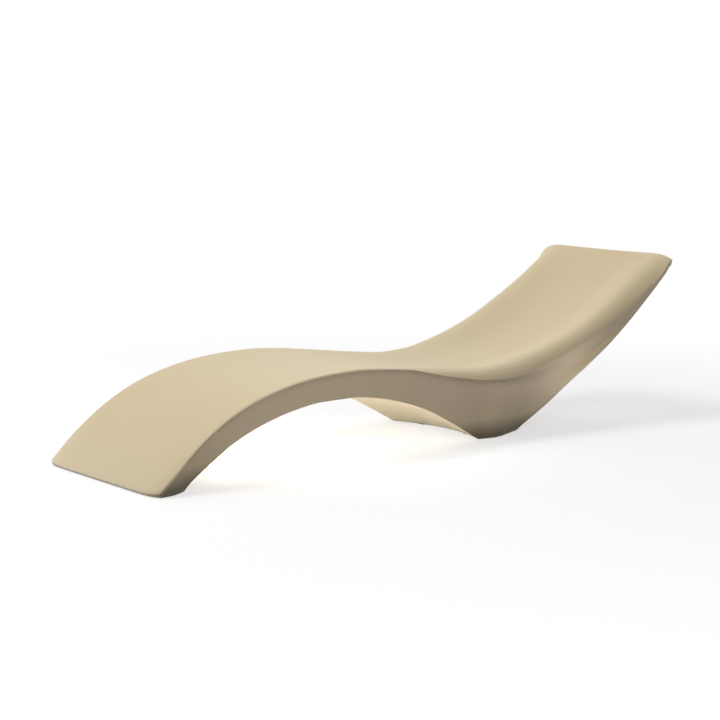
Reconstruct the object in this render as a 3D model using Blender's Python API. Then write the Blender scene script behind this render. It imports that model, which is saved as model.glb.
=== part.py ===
# Sun lounger: a hollow, wave-shaped moulded shell on four rubber pads, with a screw drain plug.
# Metres. The origin is on the floor under the middle, +X points to the head end and +Z up.

import math
from types import SimpleNamespace

import bmesh
import bpy
from mathutils import Matrix, Vector

# Overall size
LENGTH = 1.915
WIDTH = 0.564
HEIGHT = 0.5135

# Moulded shell
WALL = 0.006
TOE_BOW = 0.018
TOE_RADIUS = 0.006
HEAD_RADIUS = 0.017
PLAN_CORNER = 0.006
EDGE_RADIUS = 0.004
FLOOR_EDGE = 0.0015
FOOT_FRONT_BOW = 0.045
FOOT_REAR_BOW = 0.012
SOLID_TOE = 0.085

# Clearances
GAP = 0.0003
OVERRUN = 0.02

# Rubber pads under the toe and under the rear foot
PAD_THICKNESS = 0.0045
PAD_STAND = 0.001
PAD_CORNER = 0.008
FRONT_PAD = (0.050, 0.120)
REAR_PAD = (0.100, 0.060)
FRONT_PAD_INSET = 0.077
REAR_PAD_INSET = 0.080
FRONT_SCREW_PITCH = 0.070
REAR_SCREW_PITCH = 0.060

# Pad screws and the threaded inserts moulded into the shell
SCREW_RADIUS = 0.0024
SCREW_HEAD_LIP = 0.0024
SCREW_HEAD_HEIGHT = 0.0025
SCREW_SINK = 0.0008
SCREW_END_GAP = 0.0008
SOCKET_RADIUS = 0.0016
SOCKET_DEPTH = 0.0014
INSERT_WALL = 0.0015
INSERT_LENGTH = 0.012
INSERT_COLLAR_LIP = 0.0008
INSERT_COLLAR_HEIGHT = 0.0015
BOSS_RADIUS = 0.011
BOSS_COVER = 0.005

# Drain port low in the back wall of the rear base
DRAIN_HEIGHT = 0.068
SEAT_DEPTH = 0.004
SEAT_CLEARANCE = 0.0025
BUSH_RADIUS = 0.0185
BUSH_LENGTH = 0.020
BUSH_WALL = 0.004
BUSH_FLANGE_LIP = 0.006
BUSH_FLANGE_HEIGHT = 0.002
COLLAR_WALL = 0.006
SEAL_WIDTH = 0.006
SEAL_THICKNESS = 0.002
PLUG_HEAD_LIP = 0.008
PLUG_HEAD_HEIGHT = 0.005
PLUG_LENGTH = 0.016
PLUG_WALL = 0.0042
PLUG_END = 0.004
GRIP_LENGTH = 0.034
GRIP_WIDTH = 0.007
GRIP_HEIGHT = 0.009

# Breather plug under the head
VENT_INSET = 0.150
VENT_BORE_RADIUS = 0.006
VENT_CAP_LIP = 0.004
VENT_CAP_HEIGHT = 0.0025
VENT_SEAT_DEPTH = 0.0025
VENT_STEM_LENGTH = 0.013

# Counts of faces along and round the shell, and round the turned pieces
TOE_STEPS = 4
SOLE_STEPS = 3
ARCH_STEPS = 15
FOOT_STEPS = 4
BACK_STEPS = 11
HEAD_STEPS = 4
CAVITY_STEPS = 28
TOP_STEPS = 6
ROLL_STEPS = 4
LIP_STEPS = 2
WALL_STEPS = 3
CORNER_STEPS = 2
ROUND_STEPS = 28
SMALL_STEPS = 16

# Side view: each pair is a share of LENGTH from the toe, then a share of HEIGHT.
RIDGE_SHARES = (
    (0.009, 0.016), (0.050, 0.165), (0.100, 0.304), (0.150, 0.398), (0.200, 0.458),
    (0.250, 0.495), (0.300, 0.513), (0.350, 0.518), (0.400, 0.508), (0.450, 0.488),
    (0.550, 0.445), (0.600, 0.430), (0.650, 0.439), (0.700, 0.474), (0.750, 0.523),
    (0.800, 0.589), (0.850, 0.680), (0.900, 0.785), (0.950, 0.901), (1.000, 1.018),
)
ARCH_SHARES = (
    (0.000, -0.140), (0.040, -0.038), (0.057, 0.001), (0.075, 0.044), (0.100, 0.101), (0.150, 0.211),
    (0.200, 0.283), (0.250, 0.329), (0.300, 0.352), (0.350, 0.353), (0.400, 0.332), (0.450, 0.288),
    (0.500, 0.223), (0.550, 0.131), (0.612, 0.002), (0.680, -0.150), (1.000, -0.920),
)
BACK_SHARES = (
    (0.500, -0.660), (0.702, 0.002), (0.750, 0.138), (0.800, 0.299), (0.850, 0.443),
    (0.900, 0.586), (0.950, 0.744), (1.000, 0.901),
)

# Plan view: each pair is a share of LENGTH, then a share of half WIDTH.
OUTER_SHARES = (
    (0.009, 1.007), (0.030, 1.007), (0.060, 0.992), (0.200, 0.959), (0.380, 0.931), (0.560, 0.915),
    (0.700, 0.940), (0.850, 0.972), (1.000, 1.000),
)
FOOT_SHARES = (
    (0.009, 1.007), (0.030, 0.994), (0.044, 0.958), (0.057, 0.912), (0.072, 0.868), (0.100, 0.845),
    (0.250, 0.824), (0.430, 0.790), (0.580, 0.725), (0.612, 0.710), (0.645, 0.760), (0.680, 0.710),
    (0.700, 0.665), (0.730, 0.720), (0.770, 0.810), (0.800, 0.870), (0.840, 0.915), (0.870, 0.935),
    (0.900, 0.940), (0.950, 0.945), (1.000, 0.935),
)

# Rolled edge of the seat and back: shares of LENGTH, then of half WIDTH or of HEIGHT.
ROLL_WIDTH_SHARES = (
    (0.360, 0.020), (0.410, 0.060), (0.450, 0.090), (0.520, 0.150), (0.600, 0.185), (0.700, 0.180),
    (0.800, 0.165), (0.870, 0.185), (0.930, 0.225), (1.000, 0.250),
)
ROLL_DROP_SHARES = (
    (0.360, 0.000), (0.410, 0.001), (0.450, 0.008), (0.500, 0.029), (0.546, 0.046), (0.600, 0.062),
    (0.650, 0.075), (0.700, 0.084), (0.750, 0.081), (0.800, 0.077), (0.850, 0.088), (0.900, 0.102),
    (0.950, 0.096), (1.000, 0.028),
)
LIP_DROP_SHARES = (
    (0.030, 0.0), (0.100, 0.012), (0.450, 0.010), (0.546, 0.014), (0.600, 0.018),
    (0.650, 0.034), (0.700, 0.066),
    (0.750, 0.104), (0.800, 0.131), (0.840, 0.135), (0.880, 0.104), (0.920, 0.072),
    (0.960, 0.042), (1.000, 0.034),
)
LIP_SET_SHARES = (
    (0.030, 0.0), (0.100, 0.040), (0.450, 0.045), (0.560, 0.060), (0.620, 0.090),
    (0.700, 0.115), (0.750, 0.120),
    (0.800, 0.120), (0.840, 0.095), (0.870, 0.055), (0.900, 0.035), (0.950, 0.025), (1.000, 0.020),
)

# How far the roll turns, as a share of a right angle, and how the wall below it bows (1 is straight)
ROLL_TURN_SHARES = (
    (0.360, 0.40), (0.450, 0.48), (0.520, 0.60), (0.600, 0.78), (0.680, 0.94), (0.760, 1.00),
    (0.860, 0.97), (0.930, 0.85), (1.000, 0.60),
)
WALL_BOW_SHARES = (
    (0.070, 0.60), (0.500, 0.55), (0.600, 0.80), (0.700, 1.00), (0.800, 0.80), (1.000, 0.80),
)

# Hollow across the top, and how far the lower corners are rounded
DISH_SHARES = (
    (0.015, 0.0), (0.100, 0.008), (0.300, 0.020), (0.500, 0.030), (0.640, 0.050),
    (0.760, 0.080), (0.900, 0.070), (0.960, 0.035), (1.000, 0.0),
)
DISH_FLAT_SHARES = ((0.400, 0.0), (0.640, 1.0))
VAULT_SHARES = (
    (0.057, 0.0), (0.200, 0.014), (0.500, 0.016), (0.612, 0.0), (0.730, 0.0),
    (0.800, -0.006), (1.000, -0.012),
)
CORNER_SHARES = (
    (0.610, 0.015), (0.650, 0.050), (0.680, 0.080), (0.700, 0.090), (0.740, 0.100), (0.790, 0.090),
    (0.830, 0.050), (0.870, 0.030), (1.000, 0.030),
)
HEEL_SHARE = 0.057
FOOT_FRONT_SHARE = 0.612
FOOT_REAR_SHARE = 0.698

# How far off the middle line the pads lie: shares of half WIDTH
FRONT_PAD_SHARE = 0.603
REAR_PAD_SHARE = 0.426


def curve(pairs, at):
    """Smooth curve through the pairs, which never overshoots them."""
    if at <= pairs[0][0]:
        return pairs[0][1]
    if at >= pairs[-1][0]:
        return pairs[-1][1]
    steps = [b[0] - a[0] for a, b in zip(pairs, pairs[1:])]
    slopes = [(b[1] - a[1]) / step for a, b, step in zip(pairs, pairs[1:], steps)]
    lean = [slopes[0]]
    for i in range(1, len(slopes)):
        before, after = slopes[i - 1], slopes[i]
        w1 = 2 * steps[i] + steps[i - 1]
        w2 = steps[i] + 2 * steps[i - 1]
        lean.append((w1 + w2) / (w1 / before + w2 / after) if before * after > 0 else 0)
    lean.append(slopes[-1])
    i = max(k for k in range(len(steps)) if pairs[k][0] <= at)
    u = (at - pairs[i][0]) / steps[i]
    return (
        pairs[i][1] * (1 + 2 * u) * (1 - u) ** 2
        + pairs[i + 1][1] * u * u * (3 - 2 * u)
        + steps[i] * (lean[i] * u * (1 - u) ** 2 + lean[i + 1] * u * u * (u - 1))
    )


def soft_max(a, b, blend):
    return (a + b + math.sqrt((a - b) ** 2 + blend**2)) / 2


def end_round(distance, radius):
    """How far a round of this radius draws a section in, this far from the end."""
    if distance >= radius:
        return 0
    return radius - math.sqrt(radius**2 - (radius - max(0, distance)) ** 2)


def lower_edge(share):
    """Height of the lower edge: sole, arch, rear foot and back wall."""
    arch = curve(ARCH_SHARES, share) * HEIGHT
    back = curve(BACK_SHARES, share) * HEIGHT
    return soft_max(max(arch, back), PAD_STAND, FLOOR_EDGE)


def toe_bow(share, y, half_width):
    """Forward bow of the toe in plan, fading out behind it."""
    fade = max(0, 1 - (share * LENGTH - TOE_BOW) / (2 * HEEL_SHARE * LENGTH))
    return -TOE_BOW * fade**2 * (1 - min(1, y / half_width) ** 12)


def foot_bow(share):
    """How far the middle of the underside lies behind its edges."""
    if share <= FOOT_FRONT_SHARE:
        reach = max(0, (share - HEEL_SHARE) / (FOOT_FRONT_SHARE - HEEL_SHARE))
        return FOOT_FRONT_BOW * reach**2
    if share <= FOOT_REAR_SHARE:
        reach = (share - FOOT_FRONT_SHARE) / (FOOT_REAR_SHARE - FOOT_FRONT_SHARE)
        return FOOT_FRONT_BOW + (FOOT_REAR_BOW - FOOT_FRONT_BOW) * reach
    return FOOT_REAR_BOW * (1 - share) / (1 - FOOT_REAR_SHARE)


def measures(share):
    """Heights, half widths and angles that fix the section at this share of LENGTH."""
    half = WIDTH / 2
    toe = share * LENGTH - TOE_BOW
    head = LENGTH - share * LENGTH
    ridge = curve(RIDGE_SHARES, share) * HEIGHT
    low = lower_edge(share)
    trim = end_round(toe, min(TOE_RADIUS, 0.45 * (ridge - low)))
    trim += end_round(head, min(HEAD_RADIUS, 0.45 * (ridge - low)))
    tuck = end_round(toe, PLAN_CORNER) + end_round(head, PLAN_CORNER)
    ridge -= trim
    low += trim
    deep = ridge - low
    outer = curve(OUTER_SHARES, share) * half - tuck
    foot = curve(FOOT_SHARES, share) * half - tuck
    roll_width = max(curve(ROLL_WIDTH_SHARES, share) * half, EDGE_RADIUS)
    roll_drop = min(max(curve(ROLL_DROP_SHARES, share) * HEIGHT, EDGE_RADIUS), 0.55 * deep)
    widest = ridge - roll_drop
    lip_set = curve(LIP_SET_SHARES, share) * half
    lip_drop = max(curve(LIP_DROP_SHARES, share) * HEIGHT, EDGE_RADIUS / 2)
    lip_drop = min(lip_drop, 0.7 * (deep - roll_drop))
    fall_y = outer - lip_set - foot
    fall_z = widest - lip_drop - low
    side = math.hypot(fall_y, fall_z)
    reach = min(max(curve(CORNER_SHARES, share) * half, EDGE_RADIUS), side / 2)
    return SimpleNamespace(
        ridge=ridge,
        low=low,
        outer=outer,
        foot=foot,
        crest=outer - roll_width,
        roll_width=roll_width,
        roll_drop=roll_drop,
        turn=math.pi / 2 * curve(ROLL_TURN_SHARES, share),
        widest=widest,
        crease_y=outer - lip_set,
        crease_z=widest - lip_drop,
        fall_y=fall_y,
        fall_z=fall_z,
        reach=reach,
        ease=reach / side,
        bow=curve(WALL_BOW_SHARES, share),
        dish=min(curve(DISH_SHARES, share) * HEIGHT, deep / 3),
        flat=curve(DISH_FLAT_SHARES, share),
        vault=curve(VAULT_SHARES, share) * HEIGHT,
    )


def top_height(form, y):
    """Height of the dished top and its rolled edge, this far from the middle line."""
    if y <= form.crest:
        u = y / form.crest
        return form.ridge - form.dish * (1 - u ** (2 + form.flat)) ** (1 + form.flat)
    sine = min(1, (y - form.crest) / form.roll_width) * math.sin(form.turn)
    fallen = (1 - math.sqrt(1 - sine**2)) / (1 - math.cos(form.turn))
    return form.ridge - form.roll_drop * fallen


def wall_point(form, u):
    """Point of the side wall, from the crease (0) to the lower edge (1)."""
    return form.crease_y - form.fall_y * u**form.bow, form.crease_z - form.fall_z * u


def corner_and_underside(form):
    """Points round the lower corner and on to the middle of the underside."""
    turn_y, turn_z = wall_point(form, 1 - form.ease)
    edge_y = turn_y - form.fall_y * form.bow * (1 - form.ease) ** (form.bow - 1) * form.ease
    inner = edge_y - form.reach
    points = []
    for i in range(CORNER_STEPS + 1):
        u = i / CORNER_STEPS
        y = turn_y * (1 - u) ** 2 + 2 * edge_y * u * (1 - u) + inner * u**2
        points.append((y, form.low + (turn_z - form.low) * (1 - u) ** 2))
    for i in range(1, TOP_STEPS + 1):
        u = 1 - i / TOP_STEPS
        points.append((inner * u, form.low + form.vault * (1 - u * u)))
    return points


def placed(share, form, upper, lower):
    """The points of one half section in space, on the -Y side."""
    found = []
    for points, bow in ((upper, 0), (lower, foot_bow(share))):
        for y, z in points:
            x = share * LENGTH + toe_bow(share, y, form.outer)
            x += bow * (1 - min(1, y / form.foot) ** 2)
            found.append((x - LENGTH / 2, -y, z))
    return found


def half_section(share):
    """Points from the middle of the top round the -Y side to the middle of the underside."""
    form = measures(share)
    upper = []
    for i in range(TOP_STEPS):
        y = form.crest * i / TOP_STEPS
        upper.append((y, top_height(form, y)))
    for i in range(ROLL_STEPS + 1):
        turn = form.turn * i / ROLL_STEPS
        y = form.crest + form.roll_width * math.sin(turn) / math.sin(form.turn)
        upper.append((y, top_height(form, y)))
    for i in range(1, LIP_STEPS):
        u = i / LIP_STEPS
        y = form.outer + (form.crease_y - form.outer) * u
        upper.append((y, form.widest + (form.crease_z - form.widest) * u))
    for i in range(WALL_STEPS):
        upper.append(wall_point(form, i / WALL_STEPS * (1 - form.ease)))
    return placed(share, form, upper, corner_and_underside(form))


def steepness(height, share):
    """How much longer a sloping stretch of this height is than its plan length."""
    step = 1 / 500
    rise = height(share + step) - height(share - step)
    return math.hypot(1, rise / (2 * step * LENGTH))


def cavity_half(share):
    """The half section of the hollow: drawn in by the wall thickness, without the lip."""
    form = measures(share)
    down = WALL * steepness(lambda at: curve(RIDGE_SHARES, at) * HEIGHT, share)
    up = WALL * steepness(lower_edge, share)
    start = min(form.widest - down, form.crease_z)
    share_down = (form.crease_z - start) / form.fall_z
    edge = wall_point(form, share_down)[0] - WALL
    upper = []
    count = TOP_STEPS + ROLL_STEPS
    for i in range(count):
        y = edge * math.sin(math.pi / 2 * i / count)
        probe = y + (form.outer - edge) * (y / edge) ** 10
        upper.append((y, top_height(form, probe) - down))
    first = wall_point(form, share_down)[1]
    last = wall_point(form, 1 - form.ease)[1] + up
    for i in range(WALL_STEPS):
        u = share_down + (1 - form.ease - share_down) * i / WALL_STEPS
        y = wall_point(form, u)[0]
        upper.append((y - WALL, first + (last - first) * i / WALL_STEPS))
    lower = [(max(0, y - WALL), z + up) for y, z in corner_and_underside(form)]
    return placed(share, form, upper, lower)


def whole(near):
    """A closed section from its half on the -Y side, from the middle of the top."""
    return near + [(x, -y, z) for x, y, z in near[-2:0:-1]]


def shell_stations():
    """Shares of LENGTH where the shell has a section: closest at the rounded ends."""
    tip = TOE_BOW / LENGTH
    corner = PLAN_CORNER / LENGTH
    round_end = HEAD_RADIUS / LENGTH
    marks = [tip + corner, HEEL_SHARE, FOOT_FRONT_SHARE, FOOT_REAR_SHARE, 1 - round_end]
    counts = [SOLE_STEPS, ARCH_STEPS, FOOT_STEPS, BACK_STEPS]
    turns = [math.pi / 2 * i / TOE_STEPS for i in range(TOE_STEPS)]
    found = [tip + corner * (1 - math.cos(turn)) for turn in turns]
    for start, end, count in zip(marks, marks[1:], counts):
        found += [start + (end - start) * i / count for i in range(count)]
    turns = [math.pi / 2 * i / HEAD_STEPS for i in range(HEAD_STEPS + 1)]
    found += [1 - round_end * (1 - math.sin(turn)) for turn in turns]
    return found


def material(name, colour, roughness, metallic):
    made = bpy.data.materials.new(name)
    made.use_nodes = True
    shader = made.node_tree.nodes["Principled BSDF"]
    shader.inputs["Base Color"].default_value = (*colour, 1)
    shader.inputs["Roughness"].default_value = roughness
    shader.inputs["Metallic"].default_value = metallic
    made.diffuse_color = (*colour, 1)
    return made


def object_from(name, mesh_maker, finish, parent, place=(0, 0, 0)):
    """One object whose mesh the bmesh in mesh_maker becomes."""
    mesh = bpy.data.meshes.new(name)
    bmesh.ops.recalc_face_normals(mesh_maker, faces=mesh_maker.faces)
    mesh_maker.to_mesh(mesh)
    mesh_maker.free()
    if finish:
        mesh.materials.append(finish)
    mesh.shade_smooth()
    mesh.set_sharp_from_angle(angle=math.radians(35))
    made = bpy.data.objects.new(name, mesh)
    made.location = place
    made.parent = parent
    bpy.context.collection.objects.link(made)
    return made


def as_cutter(made):
    made.hide_render = True
    made.display_type = "WIRE"
    return made


def cut(target, cutter):
    step = target.modifiers.new(cutter.name, "BOOLEAN")
    step.operation = "DIFFERENCE"
    step.object = cutter
    step.solver = "EXACT"


def loft(rings):
    """A closed body through these rings, capped across its two ends."""
    made = bmesh.new()
    rows = [[made.verts.new(point) for point in ring] for ring in rings]
    count = len(rows[0])
    for row, following in zip(rows, rows[1:]):
        for i in range(count):
            k = (i + 1) % count
            made.faces.new((row[i], row[k], following[k], following[i]))
    middle = count // 2
    for row in (rows[0], rows[-1]):
        for i in range(TOP_STEPS):
            for side in (1, -1):
                top = (row[side * i], row[side * (i + 1)])
                under = (row[middle - side * (i + 1)], row[middle - side * i])
                made.faces.new((*top, *under))
        for side in (1, -1):
            flank = [row[side * i] for i in range(TOP_STEPS, middle - TOP_STEPS + 1)]
            made.faces.new(flank)
    return made


def turned(profile, steps):
    """A round body about Z from a closed outline of (radius, height) points."""
    made = bmesh.new()
    corners = [made.verts.new((radius, 0, z)) for radius, z in profile]
    edges = [made.edges.new(pair) for pair in zip(corners, corners[1:])]
    if profile[0][0] or profile[-1][0]:
        edges.append(made.edges.new((corners[-1], corners[0])))
    bmesh.ops.spin(
        made,
        geom=corners + edges,
        cent=(0, 0, 0),
        axis=(0, 0, 1),
        angle=2 * math.pi,
        steps=steps,
        use_merge=True,
    )
    bmesh.ops.remove_doubles(made, verts=made.verts, dist=GAP / 10)
    return made


def drum(radius, low, high, steps):
    return turned([(0, low), (radius, low), (radius, high), (0, high)], steps)


def block(size_x, size_y, low, high, corner):
    """An upright block, its four upright edges rounded."""
    made = bmesh.new()
    bmesh.ops.create_cube(made, size=1)
    bmesh.ops.scale(made, vec=(size_x, size_y, high - low), verts=made.verts)
    bmesh.ops.translate(made, vec=(0, 0, (low + high) / 2), verts=made.verts)
    upright = [e for e in made.edges if abs(e.verts[0].co.z - e.verts[1].co.z) > (high - low) / 2]
    if corner:
        bmesh.ops.bevel(made, geom=upright, offset=corner, segments=3, profile=0.5, affect="EDGES")
    return made


def underside_frame(share):
    """A point on the underside's middle line, and the turn that points +Z out of it there."""
    step_share = 1 / 1000
    here, ahead = (Vector(half_section(at)[-1]) for at in (share, share + step_share))
    tangent = (ahead - here).normalized()
    across = Vector((0, 1, 0))
    outward = tangent.cross(across)
    if outward.z > 0:
        outward.negate()
    turn = Matrix((across.cross(outward), across, outward)).transposed()
    return here, turn.to_4x4()


def back_share_at(height):
    """Where the middle of the back wall reaches this height."""
    low, high = FOOT_REAR_SHARE, 1
    for _ in range(40):
        middle = (low + high) / 2
        if lower_edge(middle) < height:
            low = middle
        else:
            high = middle
    return low


def anchor(name, place, turn):
    """An empty on an axis, which carries the pieces that share it."""
    made = bpy.data.objects.new(name, None)
    made.matrix_world = Matrix.Translation(place) @ turn
    bpy.context.collection.objects.link(made)
    return made


def pad_places():
    """(name, size, middle, screw places) of each pad; a screw place is an offset from the middle."""
    front_x = FRONT_PAD_INSET - LENGTH / 2
    rear_x = (FOOT_REAR_SHARE - 0.5) * LENGTH - REAR_PAD_INSET
    for end, x, share, size, pitch in (
        ("front", front_x, FRONT_PAD_SHARE, FRONT_PAD, (0, FRONT_SCREW_PITCH)),
        ("rear", rear_x, REAR_PAD_SHARE, REAR_PAD, (REAR_SCREW_PITCH, 0)),
    ):
        for side, way in (("right", -1), ("left", 1)):
            screws = [(pitch[0] / 2 * k, pitch[1] / 2 * k) for k in (-1, 1)]
            yield f"{end}_{side}", size, (x, way * share * WIDTH / 2), screws


def make_shell(finish, root):
    rings = [whole(half_section(share)) for share in shell_stations()]
    shell = object_from("shell", loft(rings), finish, root)
    start, end = SOLID_TOE / LENGTH, 1 - (HEAD_RADIUS + 2 * WALL) / LENGTH
    shares = [start + (end - start) * i / CAVITY_STEPS for i in range(CAVITY_STEPS + 1)]
    inner = [whole(cavity_half(share)) for share in shares]
    cavity = as_cutter(object_from("cavity_cutter", loft(inner), None, root))
    cut(shell, cavity)
    return shell, cavity


def add_pad(name, size, middle, screws, shell, cavity, finishes, root):
    """A rubber pad in its pocket, with two screws into inserts moulded in the shell."""
    x, y = middle
    ceiling = PAD_THICKNESS + GAP
    pad_mesh = block(*size, 0, PAD_THICKNESS, PAD_CORNER)
    pad = object_from(f"pad_{name}", pad_mesh, finishes["rubber"], root, (x, y, 0))
    wide = [side + 2 * GAP for side in size]
    pocket_mesh = block(*wide, -OVERRUN, ceiling, PAD_CORNER + GAP)
    cut(shell, as_cutter(object_from(f"pocket_cutter_{name}", pocket_mesh, None, root, (x, y, 0))))

    insert_top = ceiling + GAP + INSERT_LENGTH
    boss_top = insert_top + BOSS_COVER
    bore = SCREW_RADIUS + GAP
    insert_radius = bore + INSERT_WALL
    collar_radius = insert_radius + INSERT_COLLAR_LIP
    head_radius = SCREW_RADIUS + SCREW_HEAD_LIP
    head_base = SCREW_SINK + SCREW_HEAD_HEIGHT
    screw_end = insert_top - SCREW_END_GAP
    for label, (dx, dy) in zip("ab", screws):
        place = (x + dx, y + dy, 0)
        tag = f"{name}_{label}"
        boss = drum(BOSS_RADIUS, -OVERRUN, boss_top, SMALL_STEPS)
        cut(cavity, as_cutter(object_from(f"boss_cutter_{tag}", boss, None, root, place)))

        hole = turned(
            [
                (0, -OVERRUN),
                (head_radius + GAP, -OVERRUN),
                (head_radius + GAP, SCREW_SINK),
                (bore, head_base + GAP),
                (bore, OVERRUN),
                (0, OVERRUN),
            ],
            SMALL_STEPS,
        )
        cut(pad, as_cutter(object_from(f"screw_cutter_{tag}", hole, None, root, place)))

        screw_mesh = turned(
            [
                (0, SCREW_SINK + SOCKET_DEPTH),
                (SOCKET_RADIUS, SCREW_SINK + SOCKET_DEPTH),
                (SOCKET_RADIUS, SCREW_SINK),
                (head_radius, SCREW_SINK),
                (SCREW_RADIUS, head_base),
                (SCREW_RADIUS, screw_end),
                (0, screw_end),
            ],
            SMALL_STEPS,
        )
        object_from(f"pad_screw_{tag}", screw_mesh, finishes["steel"], root, place)

        low = ceiling + GAP
        insert_mesh = turned(
            [
                (bore, low),
                (collar_radius, low),
                (collar_radius, low + INSERT_COLLAR_HEIGHT),
                (insert_radius, low + INSERT_COLLAR_HEIGHT),
                (insert_radius, insert_top),
                (bore, insert_top),
            ],
            SMALL_STEPS,
        )
        object_from(f"insert_{tag}", insert_mesh, finishes["brass"], root, place)
        socket = turned(
            [
                (0, 0),
                (collar_radius + GAP, 0),
                (collar_radius + GAP, low + INSERT_COLLAR_HEIGHT + GAP),
                (insert_radius + GAP, low + INSERT_COLLAR_HEIGHT + GAP),
                (insert_radius + GAP, insert_top + GAP),
                (0, insert_top + GAP),
            ],
            SMALL_STEPS,
        )
        cut(shell, as_cutter(object_from(f"insert_cutter_{tag}", socket, None, root, place)))


def add_drain(shell, cavity, finishes, root):
    """Bush, flat seal and screw plug on one axis, square to the back wall."""
    place, turn = underside_frame(back_share_at(DRAIN_HEIGHT))
    axis = anchor("drain_axis", place, turn)
    axis.parent = root
    floor = -SEAT_DEPTH
    bush_face = floor + GAP + BUSH_FLANGE_HEIGHT
    bush_end = floor + GAP - BUSH_LENGTH
    collar = drum(BUSH_RADIUS + COLLAR_WALL, bush_end - GAP, OVERRUN, ROUND_STEPS)
    cut(cavity, as_cutter(object_from("collar_cutter", collar, None, axis)))
    flange_radius = BUSH_RADIUS + BUSH_FLANGE_LIP
    seat_radius = flange_radius + SEAT_CLEARANCE
    bore = BUSH_RADIUS - BUSH_WALL
    seat = turned(
        [
            (0, bush_end - COLLAR_WALL),
            (BUSH_RADIUS + GAP, bush_end - COLLAR_WALL),
            (BUSH_RADIUS + GAP, floor),
            (seat_radius, floor),
            (seat_radius, OVERRUN),
            (0, OVERRUN),
        ],
        ROUND_STEPS,
    )
    cut(shell, as_cutter(object_from("drain_cutter", seat, None, axis)))

    bush = turned(
        [
            (bore, bush_end),
            (BUSH_RADIUS, bush_end),
            (BUSH_RADIUS, floor + GAP),
            (flange_radius, floor + GAP),
            (flange_radius, bush_face),
            (bore, bush_face),
        ],
        ROUND_STEPS,
    )
    object_from("drain_bush", bush, finishes["fitting"], axis)

    seal_low = bush_face + GAP
    seal_high = seal_low + SEAL_THICKNESS
    seal = turned(
        [
            (bore, seal_low),
            (bore + SEAL_WIDTH, seal_low),
            (bore + SEAL_WIDTH, seal_high),
            (bore, seal_high),
        ],
        ROUND_STEPS,
    )
    object_from("drain_seal", seal, finishes["rubber"], axis)

    head_low = seal_high + GAP
    barrel = bore - GAP
    head_radius = bore + PLUG_HEAD_LIP
    plug = turned(
        [
            (0, head_low - PLUG_END),
            (barrel - PLUG_WALL, head_low - PLUG_END),
            (barrel - PLUG_WALL, head_low - PLUG_LENGTH),
            (barrel, head_low - PLUG_LENGTH),
            (barrel, head_low),
            (head_radius, head_low),
            (head_radius, head_low + PLUG_HEAD_HEIGHT),
            (0, head_low + PLUG_HEAD_HEIGHT),
        ],
        ROUND_STEPS,
    )
    plug = object_from("drain_plug", plug, finishes["fitting"], axis)
    grip_base = head_low + PLUG_HEAD_HEIGHT / 2
    grip = block(GRIP_LENGTH, GRIP_WIDTH, grip_base, grip_base + GRIP_HEIGHT, GRIP_WIDTH / 3)
    grip = as_cutter(object_from("grip_guide", grip, None, axis))
    join = plug.modifiers.new("grip", "BOOLEAN")
    join.operation = "UNION"
    join.object = grip
    join.solver = "EXACT"


def add_vent(shell, finishes, root):
    """Push-in breather plug in the underside, near the head."""
    place, turn = underside_frame(1 - VENT_INSET / LENGTH)
    axis = anchor("vent_axis", place, turn)
    axis.parent = root
    floor = -VENT_SEAT_DEPTH
    cap_radius = VENT_BORE_RADIUS + VENT_CAP_LIP
    hole = turned(
        [
            (0, -OVERRUN),
            (VENT_BORE_RADIUS, -OVERRUN),
            (VENT_BORE_RADIUS, floor),
            (cap_radius + GAP, floor),
            (cap_radius + GAP, OVERRUN),
            (0, OVERRUN),
        ],
        SMALL_STEPS,
    )
    cut(shell, as_cutter(object_from("vent_cutter", hole, None, axis)))
    stem = VENT_BORE_RADIUS - GAP
    plug = turned(
        [
            (0, floor - VENT_STEM_LENGTH),
            (stem / 2, floor - VENT_STEM_LENGTH),
            (stem, floor - VENT_STEM_LENGTH / 2),
            (stem, floor + GAP),
            (cap_radius, floor + GAP),
            (cap_radius, floor + GAP + VENT_CAP_HEIGHT / 2),
            (cap_radius / 2, floor + GAP + VENT_CAP_HEIGHT),
            (0, floor + GAP + VENT_CAP_HEIGHT),
        ],
        SMALL_STEPS,
    )
    object_from("vent_plug", plug, finishes["fitting"], axis)


def main():
    for old in list(bpy.data.objects):
        bpy.data.objects.remove(old)
    finishes = {
        "sand": material("sand polyethylene", (0.62, 0.53, 0.37), 0.55, 0),
        "rubber": material("dark rubber", (0.03, 0.03, 0.03), 0.8, 0),
        "steel": material("stainless steel", (0.55, 0.55, 0.54), 0.3, 1),
        "brass": material("brass", (0.65, 0.45, 0.18), 0.35, 1),
        "fitting": material("sand fitting", (0.52, 0.44, 0.31), 0.45, 0),
    }
    root = anchor("lounger", Vector((0, 0, 0)), Matrix.Identity(4))
    shell, cavity = make_shell(finishes["sand"], root)
    for name, size, middle, screws in pad_places():
        add_pad(name, size, middle, screws, shell, cavity, finishes, root)
    add_drain(shell, cavity, finishes, root)
    add_vent(shell, finishes, root)


main()
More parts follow.
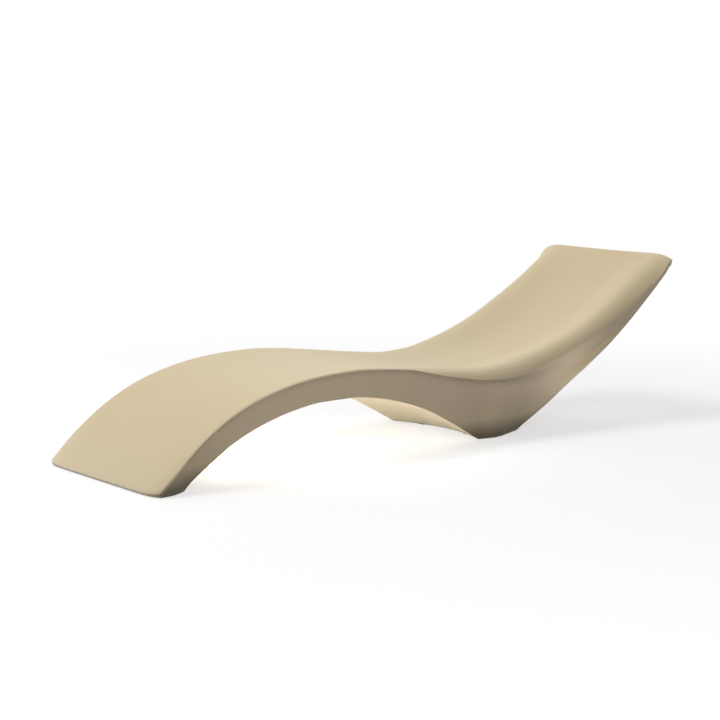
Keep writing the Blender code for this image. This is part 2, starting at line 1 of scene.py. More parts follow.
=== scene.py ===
# Sun lounger: one hollow wave-shaped moulding on rubber pads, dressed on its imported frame.
# Metres. The floor is at z = 0, +X points to the head end, and the camera stands off the -Y side.
import math
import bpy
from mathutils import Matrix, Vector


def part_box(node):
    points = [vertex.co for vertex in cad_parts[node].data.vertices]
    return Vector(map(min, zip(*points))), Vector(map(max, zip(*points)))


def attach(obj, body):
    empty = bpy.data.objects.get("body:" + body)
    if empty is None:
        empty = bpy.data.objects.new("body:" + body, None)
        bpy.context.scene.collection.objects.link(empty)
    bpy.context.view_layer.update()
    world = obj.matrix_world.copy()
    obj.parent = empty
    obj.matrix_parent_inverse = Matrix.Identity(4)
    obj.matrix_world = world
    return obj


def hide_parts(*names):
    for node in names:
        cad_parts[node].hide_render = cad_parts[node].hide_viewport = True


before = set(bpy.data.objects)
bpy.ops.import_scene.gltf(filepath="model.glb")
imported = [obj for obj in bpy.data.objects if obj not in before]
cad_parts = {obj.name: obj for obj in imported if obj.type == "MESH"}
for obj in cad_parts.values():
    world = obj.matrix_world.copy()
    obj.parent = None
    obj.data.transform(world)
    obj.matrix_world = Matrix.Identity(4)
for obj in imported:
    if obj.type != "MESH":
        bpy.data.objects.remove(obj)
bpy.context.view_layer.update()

from types import SimpleNamespace

import bmesh
import bpy
from mathutils import Matrix, Vector

print("stage: frame loaded,", len(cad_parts), "nodes")


# The photograph's view, off the near toe corner. Angles are degrees, lens and sensor are millimetres.
view = {
    "location": (-3.27914, -4.04167, 1.00148),
    "azimuth": -38.42,
    "elevation": 8.37,
    "lens": 89.1,
    "sensor": 36,
    "reach": 100,
}


def addCamera():
    data = bpy.data.cameras.new("viewCamera")
    data.sensor_width = view["sensor"]
    data.lens = view["lens"]
    data.clip_end = view["reach"]
    camera = bpy.data.objects.new("viewCamera", data)
    bpy.context.scene.collection.objects.link(camera)
    az = math.radians(view["azimuth"])
    el = math.radians(view["elevation"])
    back = Vector((math.sin(az) * math.cos(el), -math.cos(az) * math.cos(el), math.sin(el)))
    camera.location = view["location"]
    camera.rotation_mode = "QUATERNION"
    camera.rotation_quaternion = (-back).to_track_quat("-Z", "Y")
    bpy.context.scene.camera = camera


addCamera()
bpy.context.scene.view_settings.view_transform = "Standard"
print("stage: camera")


# Soft studio: one big lamp overhead, lower ones off the toe, the head and the far side, and two small
# ones near the floor. A lamp has watts, place, size and direction. Without a direction it looks at the
# aim point. The base lamp's spread is in degrees.
studio = {
    "worldLight": 0.002,
    "lamps": (
        ("overLamp", 138, (-1.9, 1.1, 4.69), 2.6, None),
        ("toeLamp", 90, (-2.25, -3.89, 2.39), 2.6, None),
        ("backLamp", 53, (3.12, 1.8, 3.67), 2.6, None),
        ("farLamp", 90, (-2.45, 4.24, 1.24), 2.6, None),
        ("rimLamp", 10, (2.25, 3.89, 2.39), 2.6, None),
        ("underLamp", 16.8, (-0.62, 0.0, 0.02), 0.3, (0.94, 0.0, 0.342)),
        ("baseLamp", 0.055, (0.66, -0.42, 0.03), 0.12, (-0.5, 0.6, 0.65)),
    ),
    "baseSpread": 80,
    "aim": (0, 0, 0.2),
}


def addLamps():
    for name, power, place, size, direction in studio["lamps"]:
        data = bpy.data.lights.new(name, "AREA")
        data.energy = power
        data.shape = "DISK"
        data.size = size
        if name == "baseLamp":
            data.spread = math.radians(studio["baseSpread"])
        lamp = bpy.data.objects.new(name, data)
        lamp.location = place
        lamp.rotation_mode = "QUATERNION"
        aim = Vector(direction) if direction else Vector(studio["aim"]) - Vector(place)
        lamp.rotation_quaternion = aim.to_track_quat("-Z", "Y")
        lamp.visible_camera = False
        bpy.context.scene.collection.objects.link(lamp)


def mathNode(tree, operation, first, second=None, clamp=False):
    node = tree.nodes.new("ShaderNodeMath")
    node.operation = operation
    node.use_clamp = clamp
    for socket, value in zip(node.inputs, (first, second)):
        if isinstance(value, (int, float)):
            socket.default_value = value
        elif value is not None:
            tree.links.new(value, socket)
    return node.outputs[0]


def rampNode(tree, value, low, high):
    node = tree.nodes.new("ShaderNodeMapRange")
    node.interpolation_type = "SMOOTHSTEP"
    node.inputs["From Min"].default_value = low
    node.inputs["From Max"].default_value = high
    tree.links.new(value, node.inputs["Value"])
    return node.outputs["Result"]


# 1 where the eye or a mirror looks straight at it, 0 where its light only reaches other surfaces.
def straightLook(tree):
    path = tree.nodes.new("ShaderNodeLightPath").outputs
    seen = mathNode(tree, "MAXIMUM", path["Is Camera Ray"], path["Is Glossy Ray"])
    return mathNode(tree, "MAXIMUM", seen, path["Is Transmission Ray"])


def mixShaders(tree, amount, first, second):
    mix = tree.nodes.new("ShaderNodeMixShader")
    tree.links.new(amount, mix.inputs["Fac"])
    tree.links.new(first, mix.inputs[1])
    tree.links.new(second, mix.inputs[2])
    return mix.outputs[0]


def glowShader(tree, strength, kind="ShaderNodeEmission", colour=(1, 1, 1)):
    glow = tree.nodes.new(kind)
    glow.inputs["Color"].default_value = (*colour, 1)
    if isinstance(strength, (int, float)):
        glow.inputs["Strength"].default_value = strength
    else:
        tree.links.new(strength, glow.inputs["Strength"])
    return glow.outputs[0]


def lightWorld():
    world = bpy.data.worlds.new("paleStudio")
    world.use_nodes = True
    tree = world.node_tree
    tree.nodes.clear()
    light = glowShader(tree, studio["worldLight"], "ShaderNodeBackground")
    white = glowShader(tree, 1, "ShaderNodeBackground")
    end = tree.nodes.new("ShaderNodeOutputWorld")
    tree.links.new(mixShaders(tree, straightLook(tree), light, white), end.inputs["Surface"])
    bpy.context.scene.world = world


# Pale floor. The eye sees a light grey that fades to white. Other surfaces get a weak painted glow from
# it, light of its own tinted blue, that dies out where the lounger stands as a painted contact shadow. A
# contact box has its middle's X, then half its size along X and Y.
paleFloor = {
    "half": 40,
    "drop": 0.0004,
    "colour": 0.12,
    "lift": 0.22,
    "liftTint": (1.03, 1.0, 1.36),
    "shownColour": 0.42,
    "shownGlow": 0.62,
    "fade": (1.2, 2.6),
    # Where the floor's painted glow dies out: the reach in metres, and the boxes round the feet.
    "contactReach": 0.2,
    "contactBoxes": ((0.297, 0.082, 0.2), (-0.83, 0.03, 0.28)),
}


def beyond(tree, along, middle, half):
    # How far a place lies past the end of a box along one axis, squared.
    off = mathNode(tree, "ABSOLUTE", mathNode(tree, "SUBTRACT", along, middle))
    off = mathNode(tree, "MAXIMUM", mathNode(tree, "SUBTRACT", off, half), 0)
    return mathNode(tree, "MULTIPLY", off, off)


def contactDistance(tree, place):
    split = tree.nodes.new("ShaderNodeSeparateXYZ")
    tree.links.new(place, split.inputs[0])
    found = None
    for middle, halfX, halfY in paleFloor["contactBoxes"]:
        squareX = beyond(tree, split.outputs["X"], middle, halfX)
        squareY = beyond(tree, split.outputs["Y"], 0, halfY)
        distance = mathNode(tree, "SQRT", mathNode(tree, "ADD", squareX, squareY))
        found = distance if found is None else mathNode(tree, "MINIMUM", found, distance)
    return found


def matteWithGlow(tree, grey, glow):
    matte = tree.nodes.new("ShaderNodeBsdfDiffuse")
    matte.inputs["Color"].default_value = (grey, grey, grey, 1)
    both = tree.nodes.new("ShaderNodeAddShader")
    tree.links.new(matte.outputs[0], both.inputs[0])
    tree.links.new(glow, both.inputs[1])
    return both.outputs[0]


def makeFloorPaint():
    paint = bpy.data.materials.new("paleFloorPaint")
    paint.use_nodes = True
    tree = paint.node_tree
    tree.nodes.clear()
    place = tree.nodes.new("ShaderNodeTexCoord").outputs["Object"]
    # Painted contact shadow: the floor's glow fades to nothing near the lounger's feet.
    away = contactDistance(tree, place)
    near = mathNode(tree, "DIVIDE", away, paleFloor["contactReach"], clamp=True)
    strength = mathNode(tree, "MULTIPLY", near, paleFloor["lift"])
    lift = glowShader(tree, strength, colour=paleFloor["liftTint"])
    lit = matteWithGlow(tree, paleFloor["colour"], lift)
    seen = matteWithGlow(tree, paleFloor["shownColour"], glowShader(tree, paleFloor["shownGlow"]))
    radius = tree.nodes.new("ShaderNodeVectorMath")
    radius.operation = "LENGTH"
    tree.links.new(place, radius.inputs[0])
    fade = rampNode(tree, radius.outputs["Value"], *paleFloor["fade"])
    shown = mixShaders(tree, fade, seen, glowShader(tree, 1))
    end = tree.nodes.new("ShaderNodeOutputMaterial")
    tree.links.new(mixShaders(tree, straightLook(tree), lit, shown), end.inputs["Surface"])
    return paint


def addFloor():
    half = paleFloor["half"]
    mesh = bpy.data.meshes.new("paleFloor")
    corners = [(-half, -half, 0), (half, -half, 0), (half, half, 0), (-half, half, 0)]
    mesh.from_pydata(corners, [], [(0, 1, 2, 3)])
    mesh.materials.append(makeFloorPaint())
    floor = bpy.data.objects.new("paleFloor", mesh)
    floor.location.z = -paleFloor["drop"]
    bpy.context.scene.collection.objects.link(floor)


lightWorld()
addLamps()
addFloor()
print("stage: studio")


# An input is a name, a kind and a start value, and an output is a name and a kind.
def newGroup(name, inputs, outputs):
    group = bpy.data.node_groups.new(name, "ShaderNodeTree")
    for label, kind, value in inputs:
        socket = group.interface.new_socket(name=label, in_out="INPUT", socket_type=kind)
        socket.default_value = value
    for label, kind in outputs:
        group.interface.new_socket(name=label, in_out="OUTPUT", socket_type=kind)
    return group, group.nodes.new("NodeGroupInput"), group.nodes.new("NodeGroupOutput")


def noiseNode(tree, place, scale, detail, roughness=0.5):
    node = tree.nodes.new("ShaderNodeTexNoise")
    node.inputs["Detail"].default_value = detail
    node.inputs["Roughness"].default_value = roughness
    if isinstance(scale, (int, float)):
        node.inputs["Scale"].default_value = scale
    else:
        tree.links.new(scale, node.inputs["Scale"])
    tree.links.new(place, node.inputs["Vector"])
    return node.outputs["Fac"]


def mixColour(tree, amount, first, second):
    # Sockets 0, 6 and 7 are the node's amount and two colours, and output 2 is the mixed colour.
    node = tree.nodes.new("ShaderNodeMix")
    node.data_type = "RGBA"
    for socket, value in ((node.inputs[0], amount), (node.inputs[6], first), (node.inputs[7], second)):
        if isinstance(value, tuple):
            socket.default_value = (*value, 1)
        else:
            tree.links.new(value, socket)
    return node.outputs[2]


# Noise whose patches are about as wide as the size that comes in, in metres.
def patchNoise(tree, place, size, detail, roughness=0.5):
    return noiseNode(tree, place, mathNode(tree, "DIVIDE", 1, size), detail, roughness)


# Faint orange-peel waves with a finer powder grain on them, as the inside of a sanded mould leaves.
def makeMouldedSkin():
    group, start, end = newGroup(
        "mouldedSkin",
        [
            ("Wave Size", "NodeSocketFloat", 0.004),
            ("Grain Size", "NodeSocketFloat", 0.0006),
            ("Grain Part", "NodeSocketFloat", 0.3),
        ],
        [("Height", "NodeSocketFloat"), ("Grain", "NodeSocketFloat")],
    )
    place = group.nodes.new("ShaderNodeTexCoord").outputs["Object"]
    waves = patchNoise(group, place, start.outputs["Wave Size"], 1)
    grain = patchNoise(group, place, start.outputs["Grain Size"], 2, 0.6)
    wavePart = mathNode(group, "SUBTRACT", 1, start.outputs["Grain Part"])
    waves = mathNode(group, "MULTIPLY", waves, wavePart)
    fine = mathNode(group, "MULTIPLY", grain, start.outputs["Grain Part"])
    group.links.new(mathNode(group, "ADD", waves, fine), end.inputs["Height"])
    group.links.new(grain, end.inputs["Grain"])
    return group


# Slow drift of the pigment, from light patches to dark ones, with fine specks.
def makePigmentDrift():
    group, start, end = newGroup(
        "pigmentDrift",
        [
            ("Colour", "NodeSocketColor", (0.5, 0.5, 0.5, 1)),
            ("Light Colour", "NodeSocketColor", (0.6, 0.6, 0.6, 1)),
            ("Dark Colour", "NodeSocketColor", (0.4, 0.4, 0.4, 1)),
            ("Patch Size", "NodeSocketFloat", 0.3),
            ("Speck Scale", "NodeSocketFloat", 1400),
            ("Amount", "NodeSocketFloat", 0.2),
        ],
        [("Colour", "NodeSocketColor")],
    )
    place = group.nodes.new("ShaderNodeTexCoord").outputs["Object"]
    patches = patchNoise(group, place, start.outputs["Patch Size"], 3, 0.55)
    specks = noiseNode(group, place, start.outputs["Speck Scale"], 1)
    amount = start.outputs["Amount"]
    lightPart = mathNode(group, "MULTIPLY", rampNode(group, patches, 0.5, 0.8), amount)
    darkPart = mathNode(group, "MULTIPLY", rampNode(group, patches, 0.5, 0.2), amount)
    speckPart = mathNode(group, "MULTIPLY", rampNode(group, specks, 0.62, 0.75), amount)
    lit = mixColour(group, lightPart, start.outputs["Colour"], start.outputs["Light Colour"])
    shaded = mixColour(group, darkPart, lit, start.outputs["Dark Colour"])
    specked = mixColour(group, speckPart, shaded, start.outputs["Dark Colour"])
    group.links.new(specked, end.inputs["Colour"])
    return group


# Scuffs and dust low down, where feet, floor and rain splash reach.
def makeFloorScuff():
    group, start, end = newGroup(
        "floorScuff",
        [("Height", "NodeSocketFloat", 0.03), ("Patch Size", "NodeSocketFloat", 0.02)],
        [("Mask", "NodeSocketFloat")],
    )
    coordinates = group.nodes.new("ShaderNodeTexCoord")
    split = group.nodes.new("ShaderNodeSeparateXYZ")
    group.links.new(coordinates.outputs["Object"], split.inputs[0])
    low = mathNode(group, "DIVIDE", split.outputs["Z"], start.outputs["Height"], clamp=True)
    nearFloor = mathNode(group, "SUBTRACT", 1, low, clamp=True)
    patches = patchNoise(group, coordinates.outputs["Object"], start.outputs["Patch Size"], 4, 0.65)
    mask = mathNode(group, "MULTIPLY", nearFloor, rampNode(group, patches, 0.4, 0.65), clamp=True)
    group.links.new(mask, end.inputs["Mask"])
    return group


# Painted contact shade low on the upright flanks. It is darkest at the floor and fades out upwards,
# reaching higher in some patches.
def makeFlankContactShade():
    group, start, end = newGroup(
        "flankContactShade",
        [
            ("Height", "NodeSocketFloat", 0.05),
            ("Patch Size", "NodeSocketFloat", 0.05),
            ("Unevenness", "NodeSocketFloat", 0.4),
            ("Thickness", "NodeSocketFloat", 1.3),
        ],
        [("Mask", "NodeSocketFloat")],
    )
    coordinates = group.nodes.new("ShaderNodeTexCoord")
    split = group.nodes.new("ShaderNodeSeparateXYZ")
    group.links.new(coordinates.outputs["Object"], split.inputs[0])
    facing = group.nodes.new("ShaderNodeSeparateXYZ")
    group.links.new(coordinates.outputs["Normal"], facing.inputs[0])
    patches = patchNoise(group, coordinates.outputs["Object"], start.outputs["Patch Size"], 3)
    offMiddle = mathNode(group, "SUBTRACT", patches, 0.5)
    uneven = mathNode(group, "MULTIPLY", offMiddle, start.outputs["Unevenness"])
    reach = mathNode(group, "MULTIPLY", start.outputs["Height"], mathNode(group, "ADD", uneven, 1))
    low = mathNode(group, "DIVIDE", split.outputs["Z"], reach, clamp=True)
    near = mathNode(group, "SUBTRACT", 1, low, clamp=True)
    strongShade = mathNode(group, "MULTIPLY", near, start.outputs["Thickness"], clamp=True)
    flank = rampNode(group, mathNode(group, "ABSOLUTE", facing.outputs["Y"]), 0.2, 0.7)
    flankShade = mathNode(group, "MULTIPLY", strongShade, flank, clamp=True)
    group.links.new(flankShade, end.inputs["Mask"])
    return group


# Worn edges: where the surface turns outwards sharply, broken up by a noise.
def makeEdgeWear():
    group, start, end = newGroup(
        "edgeWear",
        [
            ("Sharpness", "NodeSocketFloat", 0.54),
            ("Contrast", "NodeSocketFloat", 12),
            ("Patch Size", "NodeSocketFloat", 0.01),
        ],
        [("Mask", "NodeSocketFloat")],
    )
    shape = group.nodes.new("ShaderNodeNewGeometry")
    place = group.nodes.new("ShaderNodeTexCoord").outputs["Object"]
    past = mathNode(group, "SUBTRACT", shape.outputs["Pointiness"], start.outputs["Sharpness"])
    edge = mathNode(group, "MULTIPLY", past, start.outputs["Contrast"], clamp=True)
    patches = patchNoise(group, place, start.outputs["Patch Size"], 3)
    worn = mathNode(group, "MULTIPLY", edge, rampNode(group, patches, 0.35, 0.65))
    group.links.new(worn, end.inputs["Mask"])
    return group


mouldedSkin = makeMouldedSkin()
pigmentDrift = makePigmentDrift()
floorScuff = makeFloorScuff()
flankContactShade = makeFlankContactShade()
edgeWear = makeEdgeWear()


def newMaterial(name, roughness, metallic=0):
    made = bpy.data.materials.new(name)
    made.use_nodes = True
    shader = made.node_tree.nodes["Principled BSDF"]
    shader.inputs["Roughness"].default_value = roughness
    shader.inputs["Metallic"].default_value = metallic
    return made, made.node_tree, shader


def placeGroup(tree, group, values):
    node = tree.nodes.new("ShaderNodeGroup")
    node.node_tree = group
    for label, value in values.items():
        node.inputs[label].default_value = (*value, 1) if isinstance(value, tuple) else value
    return node


def placeDrift(tree, look):
    return placeGroup(tree, pigmentDrift, {
        "Colour": look["colour"], "Light Colour": look["light"], "Dark Colour": look["dark"],
        "Patch Size": look["patchSize"], "Amount": look["patchAmount"],
    }).outputs["Colour"]


def placeWear(tree, look):
    values = {"Sharpness": look["wearSharpness"], "Patch Size": look["wearPatch"]}
    return placeGroup(tree, edgeWear, values).outputs["Mask"]


def placeSkin(tree, shader, look):
    # The skin's height goes into the normal. What comes back is the roughness, uneven with the grain.
    values = {"Wave Size": look["waveSize"], "Grain Size": look["grainSize"]}
    skin = placeGroup(tree, mouldedSkin, values)
    bump = tree.nodes.new("ShaderNodeBump")
    bump.inputs["Distance"].default_value = look["bumpDepth"]
    tree.links.new(skin.outputs["Height"], bump.inputs["Height"])
    tree.links.new(bump.outputs["Normal"], shader.inputs["Normal"])
    uneven = mathNode(tree, "MULTIPLY", skin.outputs["Grain"], look["grainGloss"])
    return mathNode(tree, "ADD", uneven, look["roughness"] - look["grainGloss"] / 2)


# Finish of the shell. Sizes are metres; scuffs and a painted contact shade sit near the floor, wear on
# outward edges.
sandSkin = {
    "colour": (0.625, 0.515, 0.325),
    "light": (0.665, 0.558, 0.363),
    "dark": (0.575, 0.468, 0.288),
    "scuff": (0.40, 0.345, 0.26),
    # The next dark brown is painted contact shade for the low flanks, not a colour of the plastic.
    "paintedShade": (0.13, 0.105, 0.07),
    "patchSize": 0.35,
    "patchAmount": 0.35,
    "scuffHeight": 0.02,
    "scuffPatch": 0.018,
    "scuffAmount": 0.5,
    # Height, patch size and amount of the painted contact shade.
    "paintedShadeHeight": 0.064,
    "paintedShadePatch": 0.06,
    "paintedShadeAmount": 0.88,
    "wearSharpness": 0.56,
    "wearPatch": 0.012,
    "wearAmount": 0.3,
    "wearGloss": -0.08,
    "roughness": 0.52,
    "grainGloss": 0.12,
    "specular": 0.3,
    "waveSize": 0.005,
    "grainSize": 0.0007,
    "bumpDepth": 0.00006,
}


def makeSandPolyethylene():
    look = sandSkin
    made, tree, shader = newMaterial("sandPolyethylene", look["roughness"])
    wear = placeWear(tree, look)
    edge = mathNode(tree, "MULTIPLY", wear, look["wearAmount"])
    colour = mixColour(tree, edge, placeDrift(tree, look), look["light"])
    # Real scuffs first, then painted contact shade darkening the low flanks.
    for kind, group in (("scuff", floorScuff), ("paintedShade", flankContactShade)):
        values = {"Height": look[kind + "Height"], "Patch Size": look[kind + "Patch"]}
        scuffAndShade = placeGroup(tree, group, values).outputs["Mask"]
        scuffAndShade = mathNode(tree, "MULTIPLY", scuffAndShade, look[kind + "Amount"])
        colour = mixColour(tree, scuffAndShade, colour, look[kind])
    tree.links.new(colour, shader.inputs["Base Color"])
    polished = mathNode(tree, "MULTIPLY", wear, look["wearGloss"])
    rough = mathNode(tree, "ADD", placeSkin(tree, shader, look), polished)
    tree.links.new(rough, shader.inputs["Roughness"])
    shader.inputs["Specular IOR Level"].default_value = look["specular"]
    return made


sandPolyethylene = makeSandPolyethylene()
print("stage: materials")


# Outer form of the moulding. In a table, the first of a pair is a share of the length. The second is a
# share of the height or half width, and in rollTurn, dishFlat and wallBow a plain number.
shellForm = {
    "length": 1.915,
    "width": 0.564,
    "height": 0.5135,
    "toeBow": 0.018,
    "toeRadius": 0.006,
    "headRadius": 0.017,
    "planCorner": 0.006,
    "edgeRadius": 0.004,
    "floorEdge": 0.0015,
    "footFrontBow": 0.045,
    "footRearBow": 0.012,
    "padStand": 0.001,
    "heel": 0.057,
    "footFront": 0.612,
    "footRear": 0.698,
    "toeBowReach": 2,
    "toeBowSquare": 12,
    "mostTrim": 0.45,
    "mostRoll": 0.55,
    "mostLip": 0.7,
    "ridge": (
        (0.009, 0.016), (0.050, 0.165), (0.100, 0.304), (0.150, 0.398), (0.200, 0.458),
        (0.250, 0.495), (0.300, 0.513), (0.350, 0.518), (0.400, 0.508), (0.450, 0.488),
        (0.550, 0.445), (0.600, 0.430), (0.650, 0.439), (0.700, 0.474), (0.750, 0.523),
        (0.800, 0.589), (0.850, 0.680), (0.900, 0.785), (0.950, 0.901), (1.000, 1.018),
    ),
    "arch": (
        (0.000, -0.140), (0.040, -0.038), (0.057, 0.001), (0.075, 0.044), (0.100, 0.101), (0.150, 0.211),
        (0.200, 0.283), (0.250, 0.329), (0.300, 0.352), (0.350, 0.353), (0.400, 0.332), (0.450, 0.288),
        (0.500, 0.223), (0.550, 0.131), (0.612, 0.002), (0.680, -0.150), (1.000, -0.920),
    ),
    "back": (
        (0.500, -0.660), (0.702, 0.002), (0.750, 0.138), (0.800, 0.299), (0.850, 0.443),
        (0.900, 0.586), (0.950, 0.744), (1.000, 0.901),
    ),
    "outer": (
        (0.009, 1.007), (0.030, 1.007), (0.060, 0.992), (0.200, 0.959), (0.380, 0.931), (0.560, 0.915),
        (0.700, 0.940), (0.850, 0.972), (1.000, 1.000),
    ),
    "foot": (
        (0.009, 1.007), (0.030, 0.994), (0.044, 0.958), (0.057, 0.912), (0.072, 0.868), (0.100, 0.845),
        (0.250, 0.824), (0.430, 0.790), (0.580, 0.725), (0.612, 0.710), (0.645, 0.760), (0.680, 0.710),
        (0.700, 0.665), (0.730, 0.720), (0.770, 0.810), (0.800, 0.870), (0.840, 0.915), (0.870, 0.935),
        (0.900, 0.940), (0.950, 0.945), (1.000, 0.935),
    ),
    "rollWidth": (
        (0.360, 0.020), (0.410, 0.060), (0.450, 0.090), (0.520, 0.150), (0.600, 0.185), (0.700, 0.180),
        (0.800, 0.165), (0.870, 0.185), (0.930, 0.225), (1.000, 0.250),
    ),
    "rollTurn": (
        (0.360, 0.40), (0.450, 0.48), (0.520, 0.60), (0.600, 0.78), (0.680, 0.94), (0.760, 1.00),
        (0.860, 0.97), (0.930, 0.85), (1.000, 0.60),
    ),
    "rollDrop": (
        (0.360, 0.000), (0.410, 0.001), (0.450, 0.008), (0.500, 0.029), (0.546, 0.046), (0.600, 0.062),
        (0.650, 0.075), (0.700, 0.084), (0.750, 0.081), (0.800, 0.077), (0.850, 0.088), (0.900, 0.102),
        (0.950, 0.096), (1.000, 0.028),
    ),
    "lipDrop": (
        (0.030, 0.000), (0.100, 0.012), (0.450, 0.010), (0.546, 0.014), (0.600, 0.018), (0.650, 0.034),
        (0.700, 0.066), (0.750, 0.104), (0.800, 0.131), (0.840, 0.135), (0.880, 0.104), (0.920, 0.072),
        (0.960, 0.042), (1.000, 0.034),
    ),
    "lipSet": (
        (0.030, 0.000), (0.100, 0.040), (0.450, 0.045), (0.560, 0.060), (0.620, 0.090), (0.700, 0.115),
        (0.750, 0.120), (0.800, 0.120), (0.840, 0.095), (0.870, 0.055), (0.900, 0.035), (0.950, 0.025),
        (1.000, 0.020),
    ),
    "dish": (
        (0.015, 0.000), (0.100, 0.008), (0.300, 0.020), (0.500, 0.030), (0.640, 0.050), (0.760, 0.080),
        (0.900, 0.070), (0.960, 0.035), (1.000, 0.000),
    ),
    "dishFlat": ((0.400, 0.0), (0.640, 1.0)),
    "vault": (
        (0.057, 0.000), (0.200, 0.014), (0.500, 0.016), (0.612, 0.000), (0.730, 0.000), (0.800, -0.006),
        (1.000, -0.012),
    ),
    "corner": (
        (0.610, 0.015), (0.650, 0.050), (0.680, 0.080), (0.700, 0.090), (0.740, 0.100), (0.790, 0.090),
        (0.830, 0.050), (0.870, 0.030), (1.000, 0.030),
    ),
    "wallBow": (
        (0.070, 0.60), (0.500, 0.55), (0.600, 0.80), (0.700, 1.00), (0.800, 0.80), (1.000, 0.80),
    ),
}

# Steps of the mesh: along the length, then round half a section. sharpAngle is in degrees.
shellFine = {
    "toe": 9, "sole": 9, "arch": 64, "foot": 16, "back": 52, "head": 10,
    "top": 14, "roll": 9, "lip": 4, "wall": 8, "corner": 5,
    "sharpAngle": 50,
}


def curveAt(pairs, at):
    # Smooth curve through the pairs that never swings past them.
    if at <= pairs[0][0]:
        return pairs[0][1]
    if at >= pairs[-1][0]:
        return pairs[-1][1]
    steps = [b[0] - a[0] for a, b in zip(pairs, pairs[1:])]
    slopes = [(b[1] - a[1]) / step for a, b, step in zip(pairs, pairs[1:], steps)]
    lean = [slopes[0]]
    for i in range(1, len(slopes)):
        before, after = slopes[i - 1], slopes[i]
        w1 = 2 * steps[i] + steps[i - 1]
        w2 = steps[i] + 2 * steps[i - 1]
        lean.append((w1 + w2) / (w1 / before + w2 / after) if before * after > 0 else 0)
    lean.append(slopes[-1])
    i = max(k for k in range(len(steps)) if pairs[k][0] <= at)
    u = (at - pairs[i][0]) / steps[i]
    return (
        pairs[i][1] * (1 + 2 * u) * (1 - u) ** 2
        + pairs[i + 1][1] * u * u * (3 - 2 * u)
        + steps[i] * (lean[i] * u * (1 - u) ** 2 + lean[i + 1] * u * u * (u - 1))
    )


def softMax(a, b, blend):
    return (a + b + math.sqrt((a - b) ** 2 + blend**2)) / 2


def endRound(distance, radius):
    # What a round of this radius takes off, this far in from the end.
    if distance >= radius:
        return 0
    return radius - math.sqrt(radius**2 - (radius - max(0, distance)) ** 2)


def ridgeHeight(share):
    return curveAt(shellForm["ridge"], share) * shellForm["height"]


def lowerEdge(share):
    form = shellForm
    arch = curveAt(form["arch"], share) * form["height"]
    back = curveAt(form["back"], share) * form["height"]
    return softMax(max(arch, back), form["padStand"], form["floorEdge"])


def footBow(share):
    # How far the middle of the underside is set towards the head.
    form = shellForm
    front, rear = form["footFront"], form["footRear"]
    if share <= front:
        reach = max(0, (share - form["heel"]) / (front - form["heel"]))
        return form["footFrontBow"] * reach**2
    if share <= rear:
        reach = (share - front) / (rear - front)
        return form["footFrontBow"] + (form["footRearBow"] - form["footFrontBow"]) * reach
    return form["footRearBow"] * (1 - share) / (1 - rear)


def measuresAt(share):
    # Heights, half widths and angles that fix the section at this share of the length.
    form = shellForm
    length, half, height = form["length"], form["width"] / 2, form["height"]
    edge = form["edgeRadius"]
    toe = share * length - form["toeBow"]
    head = length - share * length
    ridge = ridgeHeight(share)
    low = lowerEdge(share)
    most = form["mostTrim"] * (ridge - low)
    trim = endRound(toe, min(form["toeRadius"], most)) + endRound(head, min(form["headRadius"], most))
    tuck = endRound(toe, form["planCorner"]) + endRound(head, form["planCorner"])
    ridge -= trim
    low += trim
    deep = ridge - low
    outer = curveAt(form["outer"], share) * half - tuck
    foot = curveAt(form["foot"], share) * half - tuck
    rollWidth = max(curveAt(form["rollWidth"], share) * half, edge)
    rollDrop = min(max(curveAt(form["rollDrop"], share) * height, edge), form["mostRoll"] * deep)
    lipDrop = max(curveAt(form["lipDrop"], share) * height, edge / 2)
    lipDrop = min(lipDrop, form["mostLip"] * (deep - rollDrop))
    creaseY = outer - curveAt(form["lipSet"], share) * half
    creaseZ = ridge - rollDrop - lipDrop
    side = math.hypot(creaseY - foot, creaseZ - low)
    reach = min(max(curveAt(form["corner"], share) * half, edge), side / 2)
    return SimpleNamespace(
        ridge=ridge, low=low, outer=outer, foot=foot, crest=outer - rollWidth,
        rollWidth=rollWidth, rollDrop=rollDrop, turn=math.pi / 2 * curveAt(form["rollTurn"], share),
        creaseY=creaseY, creaseZ=creaseZ, fallY=creaseY - foot, fallZ=creaseZ - low,
        reach=reach, ease=reach / side, bow=curveAt(form["wallBow"], share),
        dish=min(curveAt(form["dish"], share) * height, deep / 3),
        flat=curveAt(form["dishFlat"], share), vault=curveAt(form["vault"], share) * height,
    )


def topHeight(at, y):
    # The dish up to the crest, then the rolled edge.
    if y <= at.crest:
        u = y / at.crest
        return at.ridge - at.dish * (1 - u ** (2 + at.flat)) ** (1 + at.flat)
    sine = min(1, (y - at.crest) / at.rollWidth) * math.sin(at.turn)
    return at.ridge - at.rollDrop * (1 - math.sqrt(1 - sine**2)) / (1 - math.cos(at.turn))


def wallPoint(at, u):
    return at.creaseY - at.fallY * u**at.bow, at.creaseZ - at.fallZ * u


def cornerAndUnderside(at):
    # Round the lower corner, then along the vaulted underside to the middle.
    turnY, turnZ = wallPoint(at, 1 - at.ease)
    edgeY = turnY - at.fallY * at.bow * (1 - at.ease) ** (at.bow - 1) * at.ease
    inner = edgeY - at.reach
    points = []
    for i in range(shellFine["corner"] + 1):
        u = i / shellFine["corner"]
        y = turnY * (1 - u) ** 2 + 2 * edgeY * u * (1 - u) + inner * u**2
        points.append((y, at.low + (turnZ - at.low) * (1 - u) ** 2))
    for i in range(1, shellFine["top"] + 1):
        u = 1 - i / shellFine["top"]
        points.append((inner * u, at.low + at.vault * (1 - u * u)))
    return points


